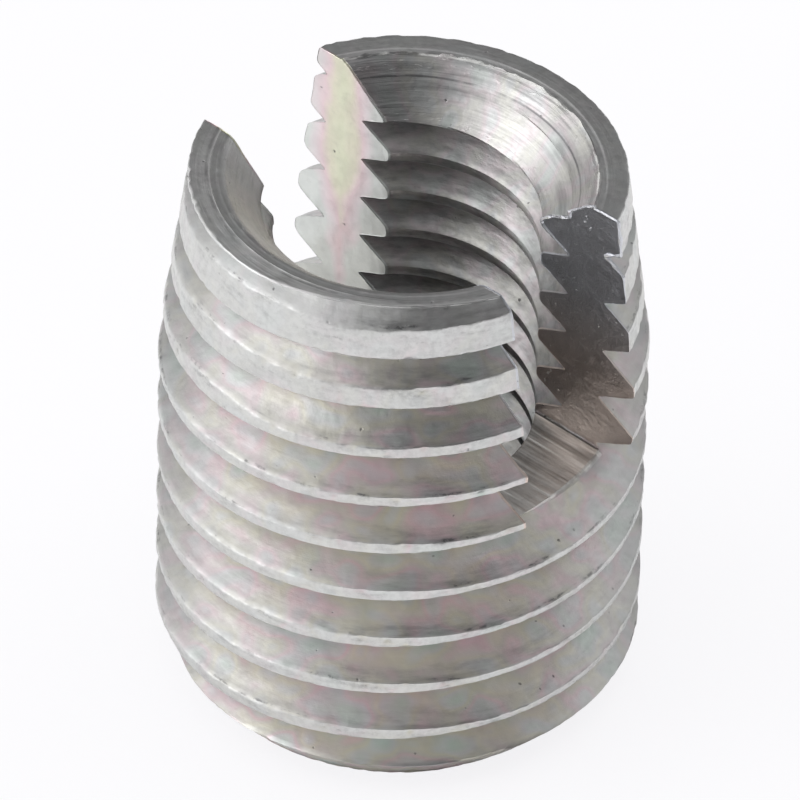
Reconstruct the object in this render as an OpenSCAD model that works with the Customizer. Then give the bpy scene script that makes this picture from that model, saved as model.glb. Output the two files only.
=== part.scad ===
/* [Overall] */
// Length of the insert, resting end to slotted rim, mm
length = 10.0; // [6:0.1:16]
// Outside diameter over the thread crests, mm
crest_d = 8.0; // [7:0.1:12]

/* [Outside thread] */
// Pitch of the outside thread, mm
outer_pitch = 1.0; // [0.8:0.05:1.5]
// Depth of the outside thread, crest to root, mm
outer_depth = 0.66; // [0.3:0.01:0.68]
// Width of the flat along each outside crest, mm
outer_crest_w = 0.21; // [0.15:0.01:0.4]
// Depth of the groove centre below the rim on the +X side, mm
outer_start = 0.905; // [0.1:0.001:1.2]

/* [Slotted end] */
// Outside diameter at the rim, before the corner is broken, mm
rim_d = 7.1; // [6.2:0.05:8]
// Length of the taper from the rim to the full crests, mm
taper_len = 3.4; // [1:0.1:4]
// Broken corner at the outer edge of the rim, mm
rim_break = 0.02; // [0.01:0.01:0.2]

/* [Resting end] */
// Width of the chamfer on the resting end, measured inward, mm
foot_in = 0.7; // [0.1:0.01:0.9]
// Height of the chamfer on the resting end, mm
foot_up = 0.8; // [0.1:0.01:1.2]
// Diameter of the countersink in the resting end, mm
foot_sink_d = 5.5; // [5:0.05:6.2]

/* [Inside thread] */
// Diameter of the bore at the inside crests, mm
minor_d = 4.34; // [3.5:0.01:4.9]
// Pitch of the inside thread, mm
inner_pitch = 0.8; // [0.7:0.05:1.25]
// Depth of the inside thread, crest to root, mm
inner_depth = 0.433; // [0.3:0.001:0.5]
// Width of the flat along each inside crest, mm
inner_crest_w = 0.2; // [0.15:0.01:0.3]
// Depth of the groove centre below the rim on the +X side, mm
inner_start = 1.344; // [0.1:0.001:1.6]
// Diameter of the large countersink at the rim, mm
sink_d = 6.0; // [5.4:0.01:6.6]

/* [Saw slot] */
// Width of the slot, mm
slot_w = 2.65; // [1.5:0.05:4]
// Depth of the slot below the rim, mm
slot_depth = 4.9; // [2:0.1:6]
// Distance of the slot's middle off the axis, mm
slot_off = 0.07; // [0:0.01:0.2]

/* [Hidden] */
flank = 30;                             // half of the 60 degree thread angle
rise = tan(flank);
over = 0.03;                            // how far a groove cutter stands clear of the metal
least_root = 0.02;                      // narrowest flat left at the bottom of a groove
outer_turn_steps = 60;
inner_turn_steps = 48;
outer_cut = min(outer_depth, (outer_pitch - outer_crest_w - least_root) / (2 * rise));
inner_cut = min(inner_depth, (inner_pitch - inner_crest_w - least_root) / (2 * rise));
crest_r = crest_d / 2;
root_r = crest_r - outer_cut;
minor_r = minor_d / 2;
major_r = minor_r + inner_cut;
sink_r = sink_d / 2;
rim_r = rim_d / 2;
foot_sink_r = foot_sink_d / 2;
full_z = length - taper_len;            // height where the crests reach their full diameter
outer_root_w = outer_pitch - outer_crest_w - 2 * outer_cut * rise;
inner_root_w = inner_pitch - inner_crest_w - 2 * inner_cut * rise;
$fn = 96;

// the bar as it leaves the lathe, before either thread and the slot: one half section, spun
module blank() {
    rotate_extrude()
    polygon([
        [minor_r, foot_sink_r - minor_r],
        [foot_sink_r, 0],
        [crest_r - foot_in, 0],
        [crest_r, foot_up],
        [crest_r, full_z],
        [rim_r, length - rim_break],
        [rim_r - rim_break, length],
        [sink_r, length],
        [minor_r, length - (sink_r - minor_r)]
    ]);
}

// one groove of V form swept along a right-hand helix: root edge at root, mouth edge at mouth
module groove(pitch, steps, root, mouth, root_w, z_low, z_high, start_z) {
    reach = abs(mouth - root) * rise;
    first = floor((z_low - start_z) / pitch * steps);
    last = ceil((z_high - start_z) / pitch * steps);
    count = last - first;
    side = mouth > root ? 1 : -1;
    section = [
        [root, root_w / 2],
        [root, -root_w / 2],
        [mouth, -root_w / 2 - reach],
        [mouth, root_w / 2 + reach]
    ];
    spots = [for (i = [0 : count], p = section)
        let (turn = (first + i) / steps, a = turn * 360)
        [p.x * cos(a), p.x * sin(a), start_z + turn * pitch + p.y]];
    ring = len(section);
    walls = [for (i = [0 : count - 1], j = [0 : ring - 1])
        let (k = (j + 1) % ring, a = i * ring + j, b = i * ring + k, c = a + ring, d = b + ring)
        each side > 0 ? [[a, b, d], [a, d, c]] : [[a, d, b], [a, c, d]]];
    near_end = [for (j = [0 : ring - 1]) j];
    far_end = [for (j = [0 : ring - 1]) count * ring + j];
    flip = [for (j = [0 : ring - 1]) ring - 1 - j];
    caps = side > 0
        ? [[for (j = flip) near_end[j]], far_end]
        : [near_end, [for (j = flip) far_end[j]]];
    polyhedron(points = spots, faces = concat(walls, caps), convexity = 20);
}

// outside thread: the groove is cut from outside the crests down to the root
module outer_groove() {
    groove(outer_pitch, outer_turn_steps, root_r, crest_r + over, outer_root_w,
        -outer_pitch, length + outer_pitch, length - outer_start);
}

// inside thread: the groove is cut from inside the bore out to the thread's major diameter
module inner_groove() {
    groove(inner_pitch, inner_turn_steps, major_r, minor_r - over, inner_root_w,
        -inner_pitch, length + inner_pitch, length - inner_start);
}

// one saw cut right across the rim, through both walls
module saw_cut() {
    translate([-crest_d, slot_off - slot_w / 2, length - slot_depth])
    cube([2 * crest_d, slot_w, 2 * slot_depth]);
}

module insert() {
    color([0.74, 0.74, 0.73])
    difference() {
        blank();
        outer_groove();
        inner_groove();
        saw_cut();
    }
}

insert();
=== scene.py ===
# %% [markdown]
# # A slotted threaded insert, standing on its foot
#
# The real object is one small piece of turned steel, plated with zinc: a sleeve with a coarse
# thread outside, a metric thread inside, a countersink at the top and one saw slot across it.
# It screws itself into wood or plastic, slotted end first, and the edges of the slot cut the way.
#
# Everything here is in metres, like the CAD frame that is loaded first. The rules of the shape are
# written in millimetres inside a node tree, which makes them easy to read, and scaled at its end.

import math

import bpy
from mathutils import Matrix, Vector


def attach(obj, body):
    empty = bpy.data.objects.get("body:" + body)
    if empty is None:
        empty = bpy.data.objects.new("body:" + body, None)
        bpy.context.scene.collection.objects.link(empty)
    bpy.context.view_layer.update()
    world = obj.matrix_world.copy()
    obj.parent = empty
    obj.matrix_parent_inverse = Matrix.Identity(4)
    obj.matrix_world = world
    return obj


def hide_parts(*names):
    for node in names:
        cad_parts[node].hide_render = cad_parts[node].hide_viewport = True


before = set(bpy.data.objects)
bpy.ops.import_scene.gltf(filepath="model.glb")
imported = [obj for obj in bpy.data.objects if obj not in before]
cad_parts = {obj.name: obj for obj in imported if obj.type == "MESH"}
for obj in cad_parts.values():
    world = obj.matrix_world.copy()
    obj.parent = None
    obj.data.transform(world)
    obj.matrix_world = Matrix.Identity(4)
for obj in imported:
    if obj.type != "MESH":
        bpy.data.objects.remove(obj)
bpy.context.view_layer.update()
MM = 0.001
print("CAD nodes:", list(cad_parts))

# %% [markdown]
# ## The camera
#
# Small objects are best seen from a distance through a long lens, so near and far edges look
# almost the same size. The camera is aimed at the middle of the axis from 200 mm away, about 40
# degrees above the table, and leans by a degree and a half. A camera's own axes are the columns of
# its matrix: right, up, and backwards, because a camera looks along its own minus Z.

# %% Camera
def add_object(name, data):
    thing = bpy.data.objects.new(name, data)
    bpy.context.scene.collection.objects.link(thing)
    return thing


LOOK_TURN = math.radians(41.05)     # to the left of looking straight across the slot
LOOK_DOWN = math.radians(40.41)
LEAN = math.radians(1.593)
DISTANCE = 200.0                    # mm, like the three values below
AIM = Vector((0.0, 0.0, 5.0))
MOVE_LEFT = 0.035                   # after aiming, so that the insert sits in mid-view
MOVE_UP = 0.156

ahead = Vector((-math.sin(LOOK_TURN) * math.cos(LOOK_DOWN),
                math.cos(LOOK_TURN) * math.cos(LOOK_DOWN), -math.sin(LOOK_DOWN)))
level = Vector((math.cos(LOOK_TURN), math.sin(LOOK_TURN), 0.0))
upright = level.cross(ahead)
right = math.cos(LEAN) * level + math.sin(LEAN) * upright
up = math.cos(LEAN) * upright - math.sin(LEAN) * level
place = (AIM - DISTANCE * ahead - MOVE_LEFT * right + MOVE_UP * up) * MM

lens = bpy.data.cameras.new("camera")
lens.sensor_width = 36.0
lens.lens = 551.25
lens.clip_start = 0.01
lens.clip_end = 100.0
camera = add_object("camera", lens)
turned = Matrix((right, up, -ahead)).transposed().to_4x4()
camera.matrix_world = Matrix.Translation(place) @ turned
bpy.context.scene.camera = camera
print("camera at, mm:", [round(v / MM, 1) for v in place])

# %% [markdown]
# ## Writing a rule as a formula
#
# Geometry Nodes and shader nodes both have a Math node with one job each: add, multiply, smooth
# minimum and so on. Wiring fifty of them by hand hides the rule they make. The small class below
# stands for one number on its way through a tree, and every `+` or `*` on it adds a Math node, so
# the rules further down read like the formulas they are.

# %% A number that travels through a node tree
class Number:
    def __init__(self, tree, socket):
        self.tree = tree
        self.socket = socket

    def __add__(self, other):
        return math_node(self.tree, "ADD", self, other)

    def __radd__(self, other):
        return math_node(self.tree, "ADD", other, self)

    def __sub__(self, other):
        return math_node(self.tree, "SUBTRACT", self, other)

    def __rsub__(self, other):
        return math_node(self.tree, "SUBTRACT", other, self)

    def __mul__(self, other):
        return math_node(self.tree, "MULTIPLY", self, other)

    def __rmul__(self, other):
        return math_node(self.tree, "MULTIPLY", other, self)

    def __truediv__(self, other):
        return math_node(self.tree, "DIVIDE", self, other)


# %% Adding nodes and plugging values in
def plug(tree, value, socket):
    """A Number or a socket is linked, and a plain value is written on the socket."""
    if isinstance(value, Number):
        tree.links.new(value.socket, socket)
    elif isinstance(value, bpy.types.NodeSocket):
        tree.links.new(value, socket)
    else:
        socket.default_value = value


def add_node(tree, kind, inputs=None, **settings):
    """A new node with its settings made first, and then its inputs plugged in by name."""
    node = tree.nodes.new(kind)
    for name, value in settings.items():
        setattr(node, name, value)
    for name, value in (inputs or {}).items():
        plug(tree, value, node.inputs[name])
    return node


def plug_in_order(node, values):
    """Values for a node's first inputs, one by one."""
    for value, socket in zip(values, node.inputs):
        plug(node.id_data, value, socket)


def math_node(tree, kind, *values):
    node = add_node(tree, "ShaderNodeMath", operation=kind)
    plug_in_order(node, values)
    return Number(tree, node.outputs[0])


def maths(value, kind, *others):
    return math_node(value.tree, kind, value, *others)


def ramp(value, low, high, start=0.0, end=1.0, smooth=False):
    """start at low, end at high, in proportion between them. low may be the larger one."""
    course = "SMOOTHSTEP" if smooth else "LINEAR"
    node = add_node(value.tree, "ShaderNodeMapRange", clamp=True, interpolation_type=course)
    plug_in_order(node, (value, low, high, start, end))
    return Number(value.tree, node.outputs[0])


def pack(tree, x, y, z):
    node = add_node(tree, "ShaderNodeCombineXYZ")
    plug_in_order(node, (x, y, z))
    return node.outputs[0]


def unpack(tree, socket):
    node = add_node(tree, "ShaderNodeSeparateXYZ")
    plug_in_order(node, (socket,))
    return [Number(tree, out) for out in node.outputs]


def cloud(tree, where, scale, detail=2.0, rough=0.5):
    """A noise value from 0 to 1 at a place. The same place always gives the same value."""
    inputs = {"Vector": where, "Scale": scale, "Detail": detail, "Roughness": rough}
    return Number(tree, add_node(tree, "ShaderNodeTexNoise", inputs).outputs["Fac"])


def facing(east, north, azimuth):
    """How squarely a level direction points to an azimuth: 1 straight at it, -1 the other way."""
    a = math.radians(azimuth)
    return east * math.cos(a) + north * math.sin(a)


# %% [markdown]
# ## The sleeve as a sheet wrapped round its own section
#
# Cut the real insert in half and its section is a closed loop: up the outside, across the rim,
# down the inside, across the foot. The tree starts from a flat Grid. Its columns become steps
# round the axis, and its rows go round that loop, so that the grid turns into the whole sleeve.
#
# A thread could be made with a Screw modifier or a swept cutter. A rule is better here, because
# rows can follow the helix: each row climbs by one pitch in a turn, always on the same crest
# corner or root, and corners stay clean with few faces. Rows that climb past the rim or under the
# foot are laid on its edge, where Merge by Distance melts them together.

# %% Sizes of the insert, mm
SIZES = {
    "Length": 10.0,
    "Crest radius": 4.0,
    "Pitch": 1.0,
    "Crest flat": 0.21,
    "Root softness": 0.015,
    "Corner softness": 0.035,
    "Tooth narrowing": 0.1,
    "Nick depth": 0.035,
    "Wear depth": 0.07,
    "Wear softness": 0.25,
    "Groove below rim": 0.905,
    "Rim radius": 3.55,
    "Taper length": 3.4,
    "Blank softness": 0.03,
    "Foot chamfer in": 0.7,
    "Foot chamfer up": 0.8,
    "Bore radius": 2.17,
    "Inside pitch": 0.8,
    "Inside crest flat": 0.2,
    "Inside root softness": 0.02,
    "Inside corner softness": 0.13,
    "Inside groove below rim": 1.344,
    "Sink radius": 3.0,
    "Foot sink radius": 2.75,
    "Edge rounding": 0.03,
    "Sink edge depth": 0.06,
    "Slot width": 2.65,
    "Slot depth": 4.9,
    "Slot offset": 0.07,
    "Slot waviness": 0.03,
    "Burr": 0.09,
}
COLUMNS = 240                        # steps round the axis
OUT_ROWS, OUT_TURNS = 20, 12         # rows in a pitch, and pitches, outside
IN_ROWS, IN_TURNS = 12, 15           # the same inside
RIM_ROWS, FOOT_ROWS = 13, 5
ROWS_OUTSIDE = OUT_ROWS * OUT_TURNS
LAST_ROW = ROWS_OUTSIDE + RIM_ROWS + IN_ROWS * IN_TURNS + FOOT_ROWS
SLOPE = math.tan(math.radians(30))   # half of a 60 degree thread
print("rows", LAST_ROW + 1, "columns", COLUMNS + 1)

# %% Start the tree and name its inputs
tree = bpy.data.node_groups.new("threaded_sleeve", "GeometryNodeTree")
tree.interface.new_socket("Geometry", in_out="INPUT", socket_type="NodeSocketGeometry")
tree.interface.new_socket("Geometry", in_out="OUTPUT", socket_type="NodeSocketGeometry")
tree.interface.new_socket("Finish", in_out="INPUT", socket_type="NodeSocketMaterial")
for name in SIZES:
    tree.interface.new_socket(name, in_out="INPUT", socket_type="NodeSocketFloat")
given = add_node(tree, "NodeGroupInput")
result = add_node(tree, "NodeGroupOutput")
size = {name: Number(tree, given.outputs[name]) for name in SIZES}

grid = add_node(tree, "GeometryNodeMeshGrid",
                {"Vertices X": COLUMNS + 1, "Vertices Y": LAST_ROW + 1})
position = add_node(tree, "GeometryNodeInputPosition").outputs[0]
flat_x, flat_y, _ = unpack(tree, position)
turn = flat_x + 0.5                                       # 0 to 1 round the axis
row = maths((flat_y + 0.5) * float(LAST_ROW), "ROUND")    # 0 to LAST_ROW round the section
angle = turn * (2 * math.pi)
cos_a = maths(angle, "COSINE")
sin_a = maths(angle, "SINE")
print("inputs of the tree:", len(SIZES) + 2)

# %% [markdown]
# ### The blank
#
# The lathe first turned a blank: a cylinder, tapered towards the rim and chamfered at the foot.
# Its radius at a height is the smallest of the three, and a smooth minimum takes the sharpness
# off the two lines where they meet.

# %% Radius of the blank at a height
length, crest, pitch = size["Length"], size["Crest radius"], size["Pitch"]


def blank(height):
    rim = size["Rim radius"]
    taper = rim + (crest - rim) * (length - height) / size["Taper length"]
    foot = crest - size["Foot chamfer in"] * (1.0 - height / size["Foot chamfer up"])
    body = maths(crest, "SMOOTH_MIN", taper, size["Blank softness"])
    return maths(body, "SMOOTH_MIN", foot, size["Blank softness"])


# %% [markdown]
# ### Where the thread is uneven
#
# A cut thread is never quite the same all round. Painting the differences on would not show in
# the outline, so they are part of the rule. Each has a zone, from 0 to 1, that fades out round the
# axis and along it. The first turn is pushed in next to the rim. At the front, the upper flanks on
# the taper lean out further, and below the taper the teeth are a little narrower. Where the saw
# left the wall, at one corner of the slot, the crests are worn round.

# %% Zones of the outside
FIRST_TURN_PUSH = 0.42     # share of its slope that the flank loses next to the rim
FLANK_LEAN = 0.32          # the same for the upper flanks that lean out
WEAR_REACH = 0.42          # mm round the corner of the slot


def toward(azimuth, low, high):
    """0 to 1 as the angle round the axis turns towards an azimuth."""
    return ramp(facing(cos_a, sin_a, azimuth), low, high, smooth=True)


wall_y = size["Slot offset"] + size["Slot width"] * 0.5    # the slot's far wall
floor_z = length - size["Slot depth"]
off_the_wall = maths(crest * sin_a - wall_y, "ABSOLUTE")
slot_corner = ramp(off_the_wall, 0.0, WEAR_REACH, 1.0, 0.0, smooth=True) * ramp(cos_a, -0.3, -0.5)
first_turn = toward(330, 0.5, 0.85)
soft_side = toward(240, 0.3, 0.8)                         # where the crest corners are softer


def worn(height):
    """1 where the crests are worn: at that corner of the slot, above its floor."""
    return slot_corner * ramp(height - floor_z, -0.2, 0.3)


def steep(height):
    """The slope of the flanks, as a share of the true one: less on the first turn."""
    return 1.0 - FIRST_TURN_PUSH * first_turn * ramp(height, length - 0.52, length - 0.38)


def leaning(height):
    """The same for the upper flanks alone: less on the tapered turns at the front."""
    on_taper = ramp(height, length - 3.6, length - 2.8) * ramp(height, length - 0.7, length - 1.1)
    return 1.0 - FLANK_LEAN * toward(312, 0.6, 0.9) * on_taper


def narrowing(height):
    """How many mm a tooth is short of its width: in front below the taper, and on the left."""
    below_taper = ramp(height, length - 3.9, length - 2.9, 1.0, 0.0)
    share = toward(355, 0.7, 0.95) * below_taper + 0.8 * toward(228, 0.92, 1.0)
    return size["Tooth narrowing"] * share


print("nodes so far:", len(tree.nodes))

# %% [markdown]
# ### The outside thread
#
# The thread was cut into the blank, so the radius at any point is the smaller of the two: the
# blank's and the groove's. A smooth minimum rounds the crest corners, which plating and tumbling
# soften on the real part, and more so on one side. Small nicks along the crests come from noise.

# %% Radius of the outside at an angle and a height
half_flat = size["Crest flat"] * 0.5
first_groove = length - size["Groove below rim"]
apex = crest - (pitch * 0.5 - half_flat) * (1 / SLOPE)    # where the flanks would meet


def outside(height):
    lead = (height - first_groove) / pitch - turn + 0.5
    above = (maths(lead, "FRACT") - 0.5) * pitch          # how far over the groove's middle
    soft = size["Root softness"]
    clear = steep(height) * maths(above * above + soft * soft, "SQRT")
    upper = ramp(above, -0.04, 0.0, 1.0, 0.0)             # 1 on a tooth's upper flank
    clear = clear * (1.0 + upper * (leaning(height) - 1.0)) - narrowing(height) * 0.5
    groove = apex + clear * (1 / SLOPE)
    wear = worn(height)
    nicks = cloud(tree, pack(tree, cos_a * 4.0, sin_a * 4.0, height), 5.0, 3.0, 0.65)
    top = blank(height) - wear * size["Wear depth"] - size["Nick depth"] * ramp(nicks, 0.48, 0.72)
    softness = size["Corner softness"] * (1.0 + 1.6 * soft_side) + wear * size["Wear softness"]
    return maths(groove, "SMOOTH_MIN", top, softness)


# %% [markdown]
# ### Rows that follow the crests
#
# Within one pitch the rows are spread as listed: a few across the crest flat, a few close together
# on each corner, and the rest down the flank to the root. On the taper the crests are cut off
# lower, so their flats are wider, and the corner rows move apart by the same rule. It is the
# groove's formula turned round: the distance from a crest's middle at which the groove is as wide
# as the blank. Limits on that distance keep the rows in order on the widest flats.

# %% Heights of the outside rows
def spread(from_middle, rows, stops):
    """A distance that grows through (rows from the middle, distance) stops."""
    total = None
    last_row, last_reach = 0, 0.0
    for next_row, reach in stops:
        part = ramp(from_middle, last_row / rows, next_row / rows, 0.0, reach - last_reach)
        total = part if total is None else total + part
        last_row, last_reach = next_row, reach
    return total


def clamp(value, low, high):
    return maths(maths(value, "MINIMUM", high), "MAXIMUM", low)


NARROWEST, WIDEST = 0.02, 0.36                            # mm, limits for half a crest flat
edge = size["Edge rounding"]
pitches = row * (1 / OUT_ROWS)
whole = maths(pitches, "FLOOR")
within = pitches - whole - 0.5                            # -0.5 to 0.5 over one tooth
side = maths(within, "SIGN")
middle = first_groove + pitch * (turn + whole + (0.5 - (OUT_TURNS - 1)))
roughly = half_flat + (crest - blank(middle)) * SLOPE
corner_z = middle + side * roughly
slope_share = steep(corner_z) * (1.0 + (side * 0.5 + 0.5) * (leaning(corner_z) - 1.0))
groove_reach = (blank(corner_z) - apex) * SLOPE + narrowing(corner_z) * 0.5
corner = clamp(pitch * 0.5 - groove_reach / slope_share, NARROWEST, WIDEST)
outer_height = middle + side * spread(maths(within, "ABSOLUTE"), OUT_ROWS, (
    (1, maths(corner - 0.06, "MAXIMUM", corner * 0.4)),
    (4, corner + 0.02),
    (7, maths(corner + 0.1, "MINIMUM", 0.43)),
    (8, pitch * 0.5 - 0.06),
    (9, pitch * 0.5 - 0.02),
    (10, pitch * 0.5)))
outer_height = clamp(outer_height, edge, length - edge)
outer_radius = outside(outer_height)
print("nodes so far:", len(tree.nodes))

# %% [markdown]
# ### The inside thread and the countersink
#
# The inside is the same idea turned round: the bore and the two countersinks stand inwards of
# the groove, and the larger radius wins. Where the first groove meets the countersink it fades
# out along a spiral, as on the real part.

# %% Radius and row heights of the inside
bore, in_pitch = size["Bore radius"], size["Inside pitch"]
in_half_flat = size["Inside crest flat"] * 0.5
in_apex = bore + (in_pitch * 0.5 - in_half_flat) * (1 / SLOPE)
in_first = length - size["Inside groove below rim"]
sink_top = length - size["Sink edge depth"]


def opening(height):
    top_sink = size["Sink radius"] - (length - height)
    foot_sink = size["Foot sink radius"] - height
    return maths(maths(bore, "MAXIMUM", top_sink), "MAXIMUM", foot_sink)


def inside(height):
    lead = (height - in_first) / in_pitch - turn + 0.5
    away = maths(maths(lead, "FRACT") - 0.5, "ABSOLUTE") * in_pitch
    soft = size["Inside root softness"]
    groove = in_apex - maths(away * away + soft * soft, "SQRT") * (1 / SLOPE)
    return maths(groove, "SMOOTH_MAX", opening(height), size["Inside corner softness"])


def in_reach(height):
    """Half of a crest's width at a height: the bore's flat, or more in a countersink."""
    return in_half_flat + (opening(height) - bore) * SLOPE


in_pitches = (LAST_ROW - FOOT_ROWS - row) * (1 / IN_ROWS)      # counted up from the foot
in_whole = maths(in_pitches, "FLOOR")
in_within = in_pitches - in_whole - 0.5
in_side = maths(in_within, "SIGN")
in_middle = in_first + in_pitch * (turn + in_whole + (0.5 - (IN_TURNS - 2)))
in_corner = maths(in_reach(in_middle + in_side * in_reach(in_middle)), "MINIMUM", 0.3)
inner_height = in_middle + in_side * spread(maths(in_within, "ABSOLUTE"), IN_ROWS, (
    (1, in_corner - 0.06),
    (4, in_corner + 0.06),
    (5, in_pitch * 0.5 - 0.025),
    (6, in_pitch * 0.5)))
inner_height = clamp(inner_height, edge, sink_top)
inner_radius = inside(inner_height)
print("nodes so far:", len(tree.nodes))


# %% [markdown]
# ### The rim and the foot
#
# From outside in, the rim has a small corner, chipped deeper in places, a flat with a faint
# ridge, and a shallow bevel down to the countersink. The bevel's inner edge carries a thin torn
# burr over half of the way round. An Index Switch node works as a table: row number in, radius or
# height out. Chips and burr get their size from noise, so they are ragged, and the same in every
# run.

# %% Tables for the rim and foot rows
def table(index, values):
    node = add_node(tree, "GeometryNodeIndexSwitch", data_type="FLOAT")
    while len(node.index_switch_items) < len(values):
        node.index_switch_items.new()
    plug_in_order(node, [index, *values])
    return Number(tree, node.outputs[0])


def section_tables(index, corners):
    """The radius and the height of the row with this index, from (radius, height) corners."""
    return table(index, [r for r, _ in corners]), table(index, [h for _, h in corners])


ring_place = pack(tree, cos_a * 3.0, sin_a * 3.0, 0.0)
ragged = cloud(tree, ring_place, 5.0, 3.0, 0.7)
fine_ragged = cloud(tree, ring_place, 1.3, 2.0, 0.6)
burr = size["Burr"] * ramp(ragged, 0.35, 0.58, 0.1, 1.0) * ramp(fine_ragged, 0.35, 0.6, 0.3, 1.0)
burr = burr * toward(85, -0.25, 0.25)
chip = edge + 0.07 * ramp(cloud(tree, ring_place, 2.6, 3.0, 0.75), 0.5, 0.64)
ridge = ramp(ragged, 0.3, 0.6, 0.3, 1.0) * toward(225, 0.0, 0.6)

rim_out = outside(length - edge)
sink_radius = size["Sink radius"]
rim_row = row - float(ROWS_OUTSIDE)
rim_radius, rim_height = section_tables(rim_row, (
    (rim_out, length - edge),
    (rim_out - 0.08 * chip, length - 0.62 * edge),
    (rim_out - 0.29 * chip, length - 0.29 * edge),
    (rim_out - 0.62 * chip, length - 0.08 * edge),
    (rim_out - chip, length),
    (sink_radius + 0.225, length),
    (sink_radius + 0.205, length + 0.01 * ridge),
    (sink_radius + 0.188, length - 0.008),
    (sink_radius + 0.17, length - 0.01),
    (sink_radius + 0.1, length - 0.014),
    (sink_radius + 0.06 + 0.1 * burr, length - 0.016 + burr),
    (sink_radius + 0.03, length - 0.02 + 0.2 * burr),
    (sink_radius, length - 0.03),
    (inside(sink_top), sink_top)))

foot_in = inside(edge)
foot_out = outside(edge)
foot_row = row - float(LAST_ROW - FOOT_ROWS)
foot_radius, foot_height = section_tables(foot_row, (
    (foot_in, edge),
    (foot_in + 0.3 * edge, 0.3 * edge),
    (foot_in + edge, 0.0),
    (foot_out - edge, 0.0),
    (foot_out - 0.3 * edge, 0.3 * edge),
    (foot_out, edge)))
print("nodes so far:", len(tree.nodes))

# %% Join the four stretches of rows into one wrapped grid
MELT = 0.0008                                             # mm, points closer than this become one
after_outside = ramp(row, ROWS_OUTSIDE - 0.6, ROWS_OUTSIDE - 0.4)
after_rim = ramp(rim_row, RIM_ROWS + 0.4, RIM_ROWS + 0.6)
after_inside = ramp(foot_row, 0.4, 0.6)


def follow(outer, rim, inner, foot):
    """The value of the stretch that a row belongs to."""
    here = outer
    for past, then in ((after_outside, rim), (after_rim, inner), (after_inside, foot)):
        here = here + past * (then - here)
    return here


section_radius = follow(outer_radius, rim_radius, inner_radius, foot_radius)
section_height = follow(outer_height, rim_height, inner_height, foot_height)
wrap = add_node(tree, "GeometryNodeSetPosition", {
    "Geometry": grid.outputs["Mesh"],
    "Position": pack(tree, section_radius * cos_a, section_radius * sin_a, section_height)})
melt = add_node(tree, "GeometryNodeMergeByDistance",
                {"Geometry": wrap.outputs[0], "Distance": MELT})
print("nodes so far:", len(tree.nodes))

# %% [markdown]
# ### The saw slot
#
# A slitting saw takes out one straight bar, through both walls. Mesh Boolean does the same with a
# box, and so the order of making is the real one: thread first, slot after. The box is divided
# finely and its points are shaken a little across the slot, so that the walls and their edges come
# out slightly uneven, as a saw leaves them.

# %% Saw the slot
SAW_LONG = 10.0                                           # mm, past the metal on both sides
SAW_HIGH = 8.0
saw = add_node(tree, "GeometryNodeMeshCube", {
    "Size": pack(tree, SAW_LONG, size["Slot width"], SAW_HIGH),
    "Vertices X": 120, "Vertices Y": 20, "Vertices Z": 90})
seat = add_node(tree, "GeometryNodeTransform", {
    "Geometry": saw.outputs["Mesh"],
    "Translation": pack(tree, 0.0, size["Slot offset"], floor_z + SAW_HIGH / 2)})
shiver = (cloud(tree, position, 6.0, 2.0) - 0.5) * size["Slot waviness"]
shake = add_node(tree, "GeometryNodeSetPosition",
                 {"Geometry": seat.outputs[0], "Offset": pack(tree, 0.0, shiver, 0.0)})
cut = add_node(tree, "GeometryNodeMeshBoolean",
               {"Mesh 1": melt.outputs[0], "Mesh 2": shake.outputs[0]},
               operation="DIFFERENCE", solver="EXACT")
print("nodes so far:", len(tree.nodes))

# %% [markdown]
# ### The burr along the saw cut
#
# Sawing pushes a thread of metal over the edge it leaves. Mesh Boolean tells which edges it made,
# so they can be turned into curves and given a thin, ragged skin. It stands over the edge only
# here and there, and most where the saw tore the metal, at one corner of the rim. A bevel would
# soften the same edges, but would leave them too even.

# %% Burr lips
LIP_STEP = 0.05                                           # mm between the lip's rings
keep_edges = add_node(tree, "GeometryNodeMeshToCurve", {
    "Mesh": cut.outputs["Mesh"], "Selection": cut.outputs["Intersecting Edges"]})
even = add_node(tree, "GeometryNodeResampleCurve",
                {"Curve": keep_edges.outputs[0], "Length": LIP_STEP}, mode="LENGTH")
lip_x, lip_y, lip_z = unpack(tree, position)
torn = ramp(lip_x, 1.4, 1.6) * ramp(lip_y, 0.0, 0.1) * ramp(lip_z, length - 1.4, length - 1.0)
lip_zone = ramp(cloud(tree, position, 0.9, 1.0), 0.4, 0.6, 0.2, 1.0)
lip_ragged = ramp(cloud(tree, position, 4.2, 3.0, 0.75), 0.38, 0.62)
lip_radius = 0.002 + 0.014 * torn + (0.012 * lip_zone + 0.02 * torn) * lip_ragged
profile = add_node(tree, "GeometryNodeCurvePrimitiveCircle", {"Resolution": 5, "Radius": 1.0})
lip_mesh = add_node(tree, "GeometryNodeCurveToMesh", {
    "Curve": even.outputs[0], "Profile Curve": profile.outputs[0],
    "Scale": lip_radius, "Fill Caps": True})
print("nodes so far:", len(tree.nodes))

# %% [markdown]
# ### The end of the tree
#
# Transform scales the part from millimetres to metres. Realize Instances and Set Material come
# last, because a part for export has to be plain mesh with its finish on it.

# %% Scale and finish
both = add_node(tree, "GeometryNodeJoinGeometry")
for joined in (lip_mesh.outputs[0], cut.outputs["Mesh"]):
    tree.links.new(joined, both.inputs[0])
shrink = add_node(tree, "GeometryNodeTransform",
                  {"Geometry": both.outputs[0], "Scale": (MM, MM, MM)})
realize = add_node(tree, "GeometryNodeRealizeInstances", {"Geometry": shrink.outputs[0]})
finished = add_node(tree, "GeometryNodeSetMaterial",
                    {"Geometry": realize.outputs[0], "Material": given.outputs["Finish"]})
plug(tree, finished.outputs[0], result.inputs["Geometry"])
print("nodes in the tree:", len(tree.nodes))


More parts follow.
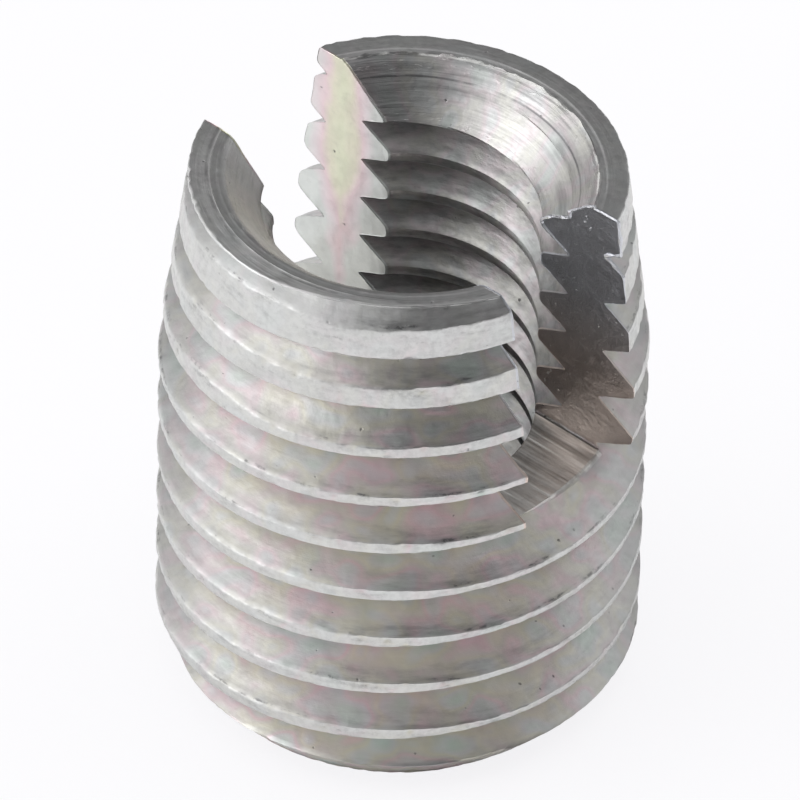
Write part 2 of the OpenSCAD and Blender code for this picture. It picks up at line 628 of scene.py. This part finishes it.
# %% [markdown]
# ## Zinc plating
#
# Zinc is a pale, slightly blue metal. Its clear passivation is a film thin enough to show the
# colours of a soap bubble, very faintly: pink, straw and green in soft patches. The base colour
# carries those tints, because they then stay with the part wherever it is used.
#
# The finish could be an image wrapped round the part. Formulas of place are used instead: they
# stay sharp however close the view is, and need no unwrapping. The finish differs from face to
# face, so it first works out where a point is: how far from the axis and in which direction, on
# which face, and how deep under the crests.

# %% Where a point of the surface is
IN_THREAD_DEPTH = 0.43                                    # mm from the bore to the roots


def near(value, spot, reach, fade):
    """1 within reach of the spot, and 0 past the fade."""
    return ramp(maths(value - spot, "ABSOLUTE"), reach, reach + fade, 1.0, 0.0)


class Spot:
    """One point of the surface: its place in mm, its direction, and zones from 0 to 1."""

    def __init__(self, tree):
        self.tree = tree
        where = add_node(tree, "ShaderNodeTexCoord").outputs["Object"]
        self.x, self.y, self.z = [v * (1 / MM) for v in unpack(tree, where)]
        self.in_mm = pack(tree, self.x, self.y, self.z)
        self.below_rim = SIZES["Length"] - self.z
        self.around = maths(self.x * self.x + self.y * self.y, "SQRT")
        self.east, self.north = self.x / self.around, self.y / self.around
        self.find_faces()
        self.find_thread()

    def toward(self, azimuth, low, high, start=0.0, end=1.0):
        """start to end as the direction turns towards an azimuth."""
        return ramp(facing(self.east, self.north, azimuth), low, high, start, end)

    def find_faces(self):
        sink = SIZES["Sink radius"]
        thread_root = SIZES["Bore radius"] + IN_THREAD_DEPTH
        off_the_wall = maths(self.y - SIZES["Slot offset"], "ABSOLUTE") - SIZES["Slot width"] / 2
        over_floor = SIZES["Slot depth"] - self.below_rim
        on_cut = near(off_the_wall, 0.0, 0.025, 0.015) * ramp(over_floor, 0.0, 0.05)
        off_cut = 1.0 - on_cut
        self.on_left_cut = on_cut * ramp(self.x, 0.0, -1.0)
        self.on_right_cut = on_cut * ramp(self.x, 0.0, 1.0)
        self.on_floor = ramp(off_the_wall, -0.02, -0.05) * near(over_floor, 0.0, 0.02, 0.03)
        self.on_rim = ramp(self.below_rim, 0.07, 0.04)
        self.in_sink = (ramp(self.around, sink + 0.1, sink + 0.06)
                        * ramp(self.below_rim, 0.95, 0.85) * off_cut)
        self.in_bore = (ramp(self.around, thread_root + 0.1, thread_root)
                        * (1.0 - self.in_sink) * (1.0 - self.on_floor) * off_cut)
        self.on_outside = ramp(self.around, sink, sink + 0.1) * (1.0 - self.on_rim) * off_cut
        self.far_side = ramp(self.y, -1.2, -1.0)                 # of the slot's near wall
        self.near_side = ramp(self.y, -1.0, -1.2)

    def find_thread(self):
        widening = (SIZES["Crest radius"] - SIZES["Rim radius"]) / SIZES["Taper length"]
        taper = SIZES["Rim radius"] + self.below_rim * widening
        crests = maths(taper, "MINIMUM", SIZES["Crest radius"])
        self.depth = crests - self.around                        # mm under the crests
        turns = maths(self.y, "ARCTAN2", self.x) * (0.5 / math.pi)
        lead = (SIZES["Groove below rim"] - self.below_rim) / SIZES["Pitch"] - turns
        phase = maths(lead, "FRACT")                             # 0 in the root, 0.5 on the crest
        self.on_crest = ramp(self.depth, 0.03, 0.01) * self.on_outside
        self.on_upper_flank = ramp(phase, 0.45, 0.5) * self.on_outside
        self.in_front = self.toward(322.1, 0.7, 0.97)


# %% [markdown]
# ### Tool marks, smears and pits
#
# Tool marks run round the axis at a constant radius, so their noise reads the radius and height
# very finely and the direction only coarsely. The direction takes two numbers, east and north,
# because one angle would leave a seam where it jumps. With radius and height that makes four
# coordinates, which a Noise Texture takes. Saw marks run along the slot in the same way. Pits sit
# in the cells of a Voronoi pattern, and only the cells that draw a high number get one.

# %% Marks on the metal
def noise_4d(tree, place, w, detail, rough):
    inputs = {"Vector": place, "W": w, "Scale": 1.0, "Detail": detail, "Roughness": rough}
    node = add_node(tree, "ShaderNodeTexNoise", inputs, noise_dimensions="4D")
    return Number(tree, node.outputs["Fac"])


def streaks(at, by_radius, by_height, by_direction, detail=3.0, rough=0.6):
    """Noise drawn out round the axis. The larger a number, the finer the noise that way."""
    place = pack(at.tree, at.around * by_radius, at.z * by_height, at.east * by_direction)
    return noise_4d(at.tree, place, at.north * by_direction, detail, rough)


class Marks:
    """The patterns that the finish is mixed from, each from 0 to 1."""

    def __init__(self, at):
        self.drift = streaks(at, 1.8, 1.2, 5.0, 1.0, 0.5)
        self.fine = streaks(at, 14.0, 14.0, 2.0)
        self.broad = streaks(at, 5.0, 5.0, 1.3, 3.0, 0.55)
        self.smear = streaks(at, 6.0, 6.0, 5.0, 4.0, 0.65)
        self.bits = streaks(at, 22.0, 22.0, 16.0, 2.0, 0.6)
        along_slot = pack(at.tree, at.y * 4.2, at.x * 0.4, at.z * 4.2)
        self.sawn = noise_4d(at.tree, along_slot, 0.0, 2.0, 0.6)
        self.grain = cloud(at.tree, at.in_mm, 9.0, 3.0, 0.7)
        self.blotch = cloud(at.tree, at.in_mm, 2.2, 2.0, 0.5)
        self.pit = self.find_pits(at)

    def find_pits(self, at):
        pushed = pack(at.tree, at.x + 0.12 * self.grain, at.y + 0.12 * self.blotch,
                      at.z + 0.08 * self.smear)
        cells = add_node(at.tree, "ShaderNodeTexVoronoi", {"Vector": pushed, "Scale": 3.6})
        chance = unpack(at.tree, cells.outputs["Color"])[0]
        from_middle = Number(at.tree, cells.outputs["Distance"])
        reach = 0.01 + 0.08 * ramp(chance, 0.6, 1.0)
        return ramp(from_middle - reach, 0.03, -0.03) * ramp(chance, 0.6, 0.62)


# %% [markdown]
# ### The film
#
# Outside, soft patches of the film's colours follow the thread. They are rubbed off the crests,
# and fade towards the rim and away from the front. The sawn walls on the left face the light and
# show the film as upright bands, from straw in the middle of the wall to pink at its sides, and
# grey further down. Those on the right go from cool grey at the top to a warm tone.

# %% Tints of the film
GREY = (0.63, 0.635, 0.635)
FILM = ((0.28, (0.56, 0.63, 0.59)), (0.37, GREY), (0.44, (0.66, 0.64, 0.56)),
        (0.50, (0.64, 0.61, 0.58)), (0.56, (0.70, 0.575, 0.60)), (0.62, (0.64, 0.62, 0.635)),
        (0.72, (0.58, 0.63, 0.60)))
BANDS = ((0.0, (0.71, 0.72, 0.57)), (0.2, (0.73, 0.70, 0.58)), (0.38, (0.76, 0.62, 0.645)),
         (0.55, (0.74, 0.67, 0.69)), (0.75, (0.68, 0.70, 0.685)))
WALL_MIDDLE = 2.68                                        # mm from the axis
RIGHT_CUT_HIGH = (0.62, 0.63, 0.67)
RIGHT_CUT_LOW = (0.72, 0.62, 0.57)
SLOT_FLOOR = (0.67, 0.655, 0.63)


def colour_bar(tree, value, stops):
    node = add_node(tree, "ShaderNodeValToRGB", {"Fac": value})
    bar = node.color_ramp
    for element, (spot, colour) in zip((bar.elements[0], bar.elements[1]), (stops[0], stops[-1])):
        element.position = spot
        element.color = (*colour, 1)
    for spot, colour in stops[1:-1]:
        bar.elements.new(spot).color = (*colour, 1)
    return node.outputs[0]


def blend(tree, amount, first, second):
    """The first colour where the amount is 0, and the second where it is 1."""
    node = add_node(tree, "ShaderNodeMix", data_type="RGBA")
    plug(tree, amount, node.inputs["Factor"])
    for colour, socket in ((first, node.inputs[6]), (second, node.inputs[7])):
        plug(tree, (*colour, 1) if isinstance(colour, tuple) else colour, socket)
    return node.outputs[2]


def film(at, marks):
    front = at.toward(311.3, -0.1, 0.7, 0.35, 1.0)
    near_crest = at.on_outside * ramp(at.depth, 0.4, 0.05) * (1.0 - at.in_front)
    shown = (at.on_outside * ramp(at.below_rim, 0.4, 1.4) * front
             + 0.4 * at.in_sink * at.far_side + 0.4 * at.in_bore)
    shown = shown * (1.0 - 0.85 * at.on_crest) * (1.0 - 0.6 * near_crest)
    tint = blend(at.tree, 0.12 + 0.88 * shown, GREY, colour_bar(at.tree, marks.drift, FILM))

    off_middle = maths(maths(at.x, "ABSOLUTE") - WALL_MIDDLE, "ABSOLUTE")
    across = off_middle + 0.7 * (marks.drift - 0.5) + ramp(at.below_rim, 2.4, 4.2, 0.0, 0.6)
    tint = blend(at.tree, at.on_left_cut, tint, colour_bar(at.tree, across, BANDS))
    right_cut = blend(at.tree, ramp(at.below_rim, 1.8, 3.4), RIGHT_CUT_HIGH, RIGHT_CUT_LOW)
    tint = blend(at.tree, at.on_right_cut, tint, right_cut)
    return blend(at.tree, at.on_floor, tint, SLOT_FLOOR)


# %% [markdown]
# ### Stains, painted shade, painted highlights and relief
#
# Stains are a sum of the marks, kind by kind, with an amount for each, and darken the film. The
# same sum carries painted shade: towards the thread's roots on the sides, over the crests at the
# front, on the left crest corners, on one side of the countersink and in the bore; it also darkens
# two thin rings. Glints are painted highlights: a few specks, the ridges of the saw marks and the
# burr line get a near-white base colour, so that they look lit. Relief adds up the same marks as a
# height and goes to a Bump node, so that a pit or a scratch is not only darker but also catches
# the light. Bump is enough here, because these marks are a few hundredths of a millimetre deep at
# most.

# %% Single kinds of marks
SINK_RING, RIM_RING, BURR_RING = 2.77, 3.25, 3.065        # mm from the axis


class Details:
    """Each kind of mark that the eye can tell apart, and each zone of painted shade or highlight,
    from 0 to 1.
    """

    def __init__(self, at, marks):
        smear, around = marks.smear, at.around
        # the upper flanks just over the crests, where shade is painted
        self.over_crest = (ramp(at.depth, 0.005, 0.03) * ramp(at.depth, 0.36, 0.06)
                           * at.on_upper_flank)
        # the left crest corners, where painted shade dims the highlight
        self.left_corner = (ramp(at.depth, 0.0, 0.03) * ramp(at.depth, 0.25, 0.1)
                            * at.on_upper_flank * at.toward(240, 0.3, 0.8))
        self.edge_specks = (near(at.depth, 0.03, 0.012, 0.03) * at.on_upper_flank
                            * ramp(smear, 0.54, 0.62) * ramp(marks.grain, 0.44, 0.56))
        self.sink_lines = at.in_sink * ramp(at.y, -1.2, -1.0, 0.3, 1.0)
        self.flecks = (ramp(marks.bits, 0.6, 0.66) * at.in_sink
                       * (ramp(around, 2.75, 2.95) + ramp(around, 2.4, 2.25)))
        sink_ring = near(around, SINK_RING, 0.006, 0.012) * at.in_sink * at.far_side
        rim_ring = near(around, RIM_RING, 0.015, 0.02) * at.on_rim * at.near_side
        self.rings = sink_ring * ramp(smear, 0.35, 0.5) + rim_ring * ramp(smear, 0.4, 0.6)
        # the burr line on the rim: rougher, and painted as a highlight in the base colour
        self.burr_line = (near(around, BURR_RING, 0.025, 0.015) * ramp(at.below_rim, 0.04, 0.03)
                          * ramp(smear, 0.46, 0.56) * ramp(at.y, 0.0, 0.5))
        # specks on the right wall: a grain in the relief, and painted highlights in the base
        # colour
        sparks = ramp(cloud(at.tree, at.in_mm, 8.0, 3.0, 0.7), 0.66, 0.74)
        self.sparks = 0.6 * sparks * at.on_right_cut


# %% Sums of the marks
# one dark colour for the stains and for the painted shade
STAIN_AND_SHADE = (0.14, 0.14, 0.145)
DARKEST = 0.85                                            # the most that stains and painted shade may cover
# near-white base colour of the painted highlights
PAINTED_HIGHLIGHT = (0.95, 0.95, 0.93)
BUMP_STEP = 6e-6                                          # metres for a relief of 1


def stains_and_shade(at, marks, details):
    smear = marks.smear
    everywhere = (0.1 * ramp(smear, 0.55, 0.72) + 0.08 * ramp(marks.blotch, 0.45, 0.6)
                  + 0.6 * marks.pit)
    # painted shade on the upper flanks just over the crests, faint all round and strongest at the
    # front, broken into patches by the smears
    front = details.over_crest * (0.03 + (0.05 + 0.4 * ramp(smear, 0.42, 0.64)) * at.in_front)
    # painted shade: on the side flanks, darker towards the roots under the crests and a little
    # lighter near the crests
    sides = at.on_upper_flank * (1.0 - at.in_front) * (0.1 * ramp(at.depth, 0.15, 0.5) - 0.03)
    # painted shade that dims the highlight on the left crest corners; the edge specks are real
    # dark specks
    corners = (details.left_corner * (0.01 + 0.08 * ramp(smear, 0.42, 0.62))
               + 0.5 * details.edge_specks)
    turned = 0.4 * ramp(marks.broad, 0.5, 0.66) + 0.15 * ramp(marks.fine, 0.48, 0.62)
    # the turned lines in the countersink are real tool marks; the 0.4 on its side towards 150
    # degrees is painted shade, standing in for a dark reflection
    sink = details.sink_lines * turned + 0.4 * at.in_sink * at.toward(150, 0.75, 1.0)
    slot_floor = at.on_floor * (0.02 + 0.22 * ramp(marks.sawn, 0.5, 0.43))
    # painted shade inside the bore, mottled by the smears
    bore = at.in_bore * (0.14 + 0.3 * ramp(smear, 0.42, 0.62))
    total = everywhere + front + sides + corners + sink + 0.5 * details.rings + slot_floor + bore
    kept = maths(total, "MINIMUM", DARKEST) * (1.0 - 0.7 * at.on_crest) * (1.0 - details.flecks)
    crest = 0.02 + 0.1 * ramp(marks.grain, 0.42, 0.62) + 0.1 * ramp(smear, 0.48, 0.64)
    return kept + at.on_crest * crest


def painted_highlights(at, marks, details):
    # painted highlights: the specks of the right wall, the ridges of the saw marks on the slot
    # floor and the burr line
    saw_ridge_highlights = at.on_floor * ramp(marks.sawn, 0.56, 0.6)
    return maths(details.sparks + 0.4 * saw_ridge_highlights + 0.75 * details.burr_line, "MINIMUM", 1.0)


def roughness(marks, details):
    metal = 0.32 + 0.12 * ramp(marks.grain, 0.3, 0.7) + 0.05 * ramp(marks.fine, 0.35, 0.65)
    return metal + 0.1 * marks.pit + 0.3 * details.burr_line + 0.12 * details.left_corner


def relief(at, marks, details):
    turned = marks.fine * (0.4 + 1.1 * details.sink_lines + 0.9 * at.on_rim)
    turned = turned + 3.8 * marks.broad * details.sink_lines
    grainy = marks.grain * (0.6 + 0.7 * at.on_crest + 2.0 * at.on_right_cut)
    uneven = marks.blotch * (2.0 + 0.8 * at.on_outside) + 1.2 * marks.smear * at.in_bore
    bits = 0.5 * details.flecks + 2.0 * details.sparks - 0.8 * marks.pit
    return turned + grainy + uneven + 8.0 * marks.sawn * at.on_floor + bits


# %% The finish
def new_material(name):
    """A material with nothing in its tree yet but an output."""
    material = bpy.data.materials.new(name)
    material.use_nodes = True
    material.node_tree.nodes.clear()
    return material, material.node_tree, add_node(material.node_tree, "ShaderNodeOutputMaterial")


def plating():
    material, tree, out = new_material("zinc_plated_steel")
    at = Spot(tree)
    marks = Marks(at)
    details = Details(at, marks)
    stained_and_shaded = blend(tree, stains_and_shade(at, marks, details), film(at, marks), STAIN_AND_SHADE)
    bump = add_node(tree, "ShaderNodeBump", {
        "Strength": 1.0,
        "Distance": BUMP_STEP,
        "Height": relief(at, marks, details)})
    metal = add_node(tree, "ShaderNodeBsdfPrincipled", {
        "Metallic": 1.0,
        "Base Color": blend(tree, painted_highlights(at, marks, details), stained_and_shaded, PAINTED_HIGHLIGHT),
        "Roughness": roughness(marks, details),
        "Normal": bump.outputs[0]})
    plug(tree, metal.outputs[0], out.inputs["Surface"])
    print("nodes in the finish:", len(tree.nodes))
    return material


zinc = plating()


# %% Make the sleeve and turn it into a plain mesh
def make_plain(name):
    start = add_object(name + "_rule", bpy.data.meshes.new(name + "_rule"))
    rule = start.modifiers.new("rule", "NODES")
    rule.node_group = tree
    values = {**SIZES, "Finish": zinc}
    for item in tree.interface.items_tree:
        if item.in_out == "INPUT" and item.name in values:
            rule[item.identifier] = values[item.name]
    seen = start.evaluated_get(bpy.context.evaluated_depsgraph_get())
    mesh = bpy.data.meshes.new_from_object(seen)
    mesh.name = name
    piece = add_object(name, mesh)
    bpy.data.objects.remove(start)
    mesh.materials.clear()                                # drops the empty slot the saw left
    mesh.materials.append(zinc)
    for face in mesh.polygons:
        face.material_index = 0
    mesh.shade_smooth()
    mesh.set_sharp_from_angle(angle=math.radians(27))
    mesh.calc_loop_triangles()
    print(name, "triangles:", len(mesh.loop_triangles), "materials:", mesh.materials.keys())
    return piece


sleeve = make_plain("threaded_sleeve")
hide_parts("insert")
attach(sleeve, "root")


# %% [markdown]
# ## Table, world and lamp
#
# A bright metal part has hardly any colour of its own: it shows its surroundings. The plain
# studio here is a sheet of white paper below and a dim dome above, with soft white panels in it.
# The dome is a formula of direction alone, so it stays put when the camera moves. A wide lamp
# overhead lights the paper. It casts the soft shadow under the part, and the metal shows the
# lit paper rather than the lamp.

# %% Floor
PAPER = (0.92, 0.92, 0.92, 1)
PAPER_WHITE = (0.975, 0.97, 0.99, 1)
SHARE_OF_WHITE = 0.88                # the rest is lit paper, which keeps the shadow


def paper():
    """Paper that lights the part as paper does, and looks almost white in itself."""
    material, tree, out = new_material("white_paper")
    matt = add_node(tree, "ShaderNodeBsdfDiffuse", {"Color": PAPER})
    glow = add_node(tree, "ShaderNodeEmission", {"Color": PAPER_WHITE, "Strength": 1.0})
    rays = add_node(tree, "ShaderNodeLightPath")
    direct = Number(tree, rays.outputs["Is Camera Ray"])
    through = Number(tree, rays.outputs["Is Transmission Ray"])
    mix = add_node(tree, "ShaderNodeMixShader")
    plug_in_order(mix, (maths(direct, "MAXIMUM", through) * SHARE_OF_WHITE,
                        matt.outputs[0], glow.outputs[0]))
    plug(tree, mix.outputs[0], out.inputs["Surface"])
    return material


floor_mesh = bpy.data.meshes.new("paper_floor")
floor_mesh.from_pydata([(-1, -1, 0), (1, -1, 0), (1, 1, 0), (-1, 1, 0)], [], [(0, 1, 2, 3)])
floor_mesh.materials.append(paper())
floor = add_object("paper_floor", floor_mesh)
print("floor, m:", tuple(round(v, 1) for v in floor.dimensions))

# %% World
# each panel: azimuth and elevation in degrees, and brightness
PANELS = {
    "low panel on the left": (238, 12, 2.25),
    "high panel on the left": (206, 47, 1.2),
    "panel over the left shoulder": (245, 42, 0.4),
    "white wall on the right, behind": (62, 42, 0.72),
    "white wall on the right": (20, 42, 0.26),
    "table edge in front, left": (280, 12, 0.25),
    "far wall": (85, 12, 0.25),
    "far wall, left": (150, 14, 0.19),
    "low wall on the left": (205, 18, 0.21),
    "ceiling": (0, 90, 0.15),
}
FALL_OFF = 8.0                       # the larger, the smaller a panel looks
world = bpy.data.worlds.new("studio")
bpy.context.scene.world = world
world.use_nodes = True
dome = world.node_tree
dome.nodes.clear()
direction = add_node(dome, "ShaderNodeTexCoord").outputs["Generated"]


def panel(azimuth, elevation, brightness):
    """A soft patch of light: full towards one side, half as bright some 24 degrees away."""
    a, e = math.radians(azimuth), math.radians(elevation)
    middle = (math.cos(a) * math.cos(e), math.sin(a) * math.cos(e), math.sin(e))
    node = add_node(dome, "ShaderNodeVectorMath", operation="DOT_PRODUCT")
    plug_in_order(node, (direction, middle))
    toward_middle = Number(dome, node.outputs["Value"])
    return brightness * maths(FALL_OFF * (toward_middle - 1.0), "EXPONENT")


sky = add_node(dome, "ShaderNodeBackground", {
    "Color": (1.0, 1.0, 1.0, 1),
    "Strength": sum(panel(*facts) for facts in PANELS.values())})
add_node(dome, "ShaderNodeOutputWorld", {"Surface": sky.outputs[0]})
print("panels in the dome:", len(PANELS))

# %% Wide lamp overhead, for the paper
overhead = bpy.data.lights.new("overhead_lamp", "AREA")
overhead.shape = "SQUARE"
overhead.size = 0.6
overhead.energy = 2.1
lamp = add_object("overhead_lamp", overhead)
lamp.location = (0.0, 0.0, 0.5)
lamp.visible_glossy = False
print("lamp:", round(overhead.energy, 2), "W,", round(overhead.size, 2), "m wide")

bpy.context.scene.view_settings.view_transform = "Standard"

# %% Bring the scene up to date
bpy.context.view_layer.update()
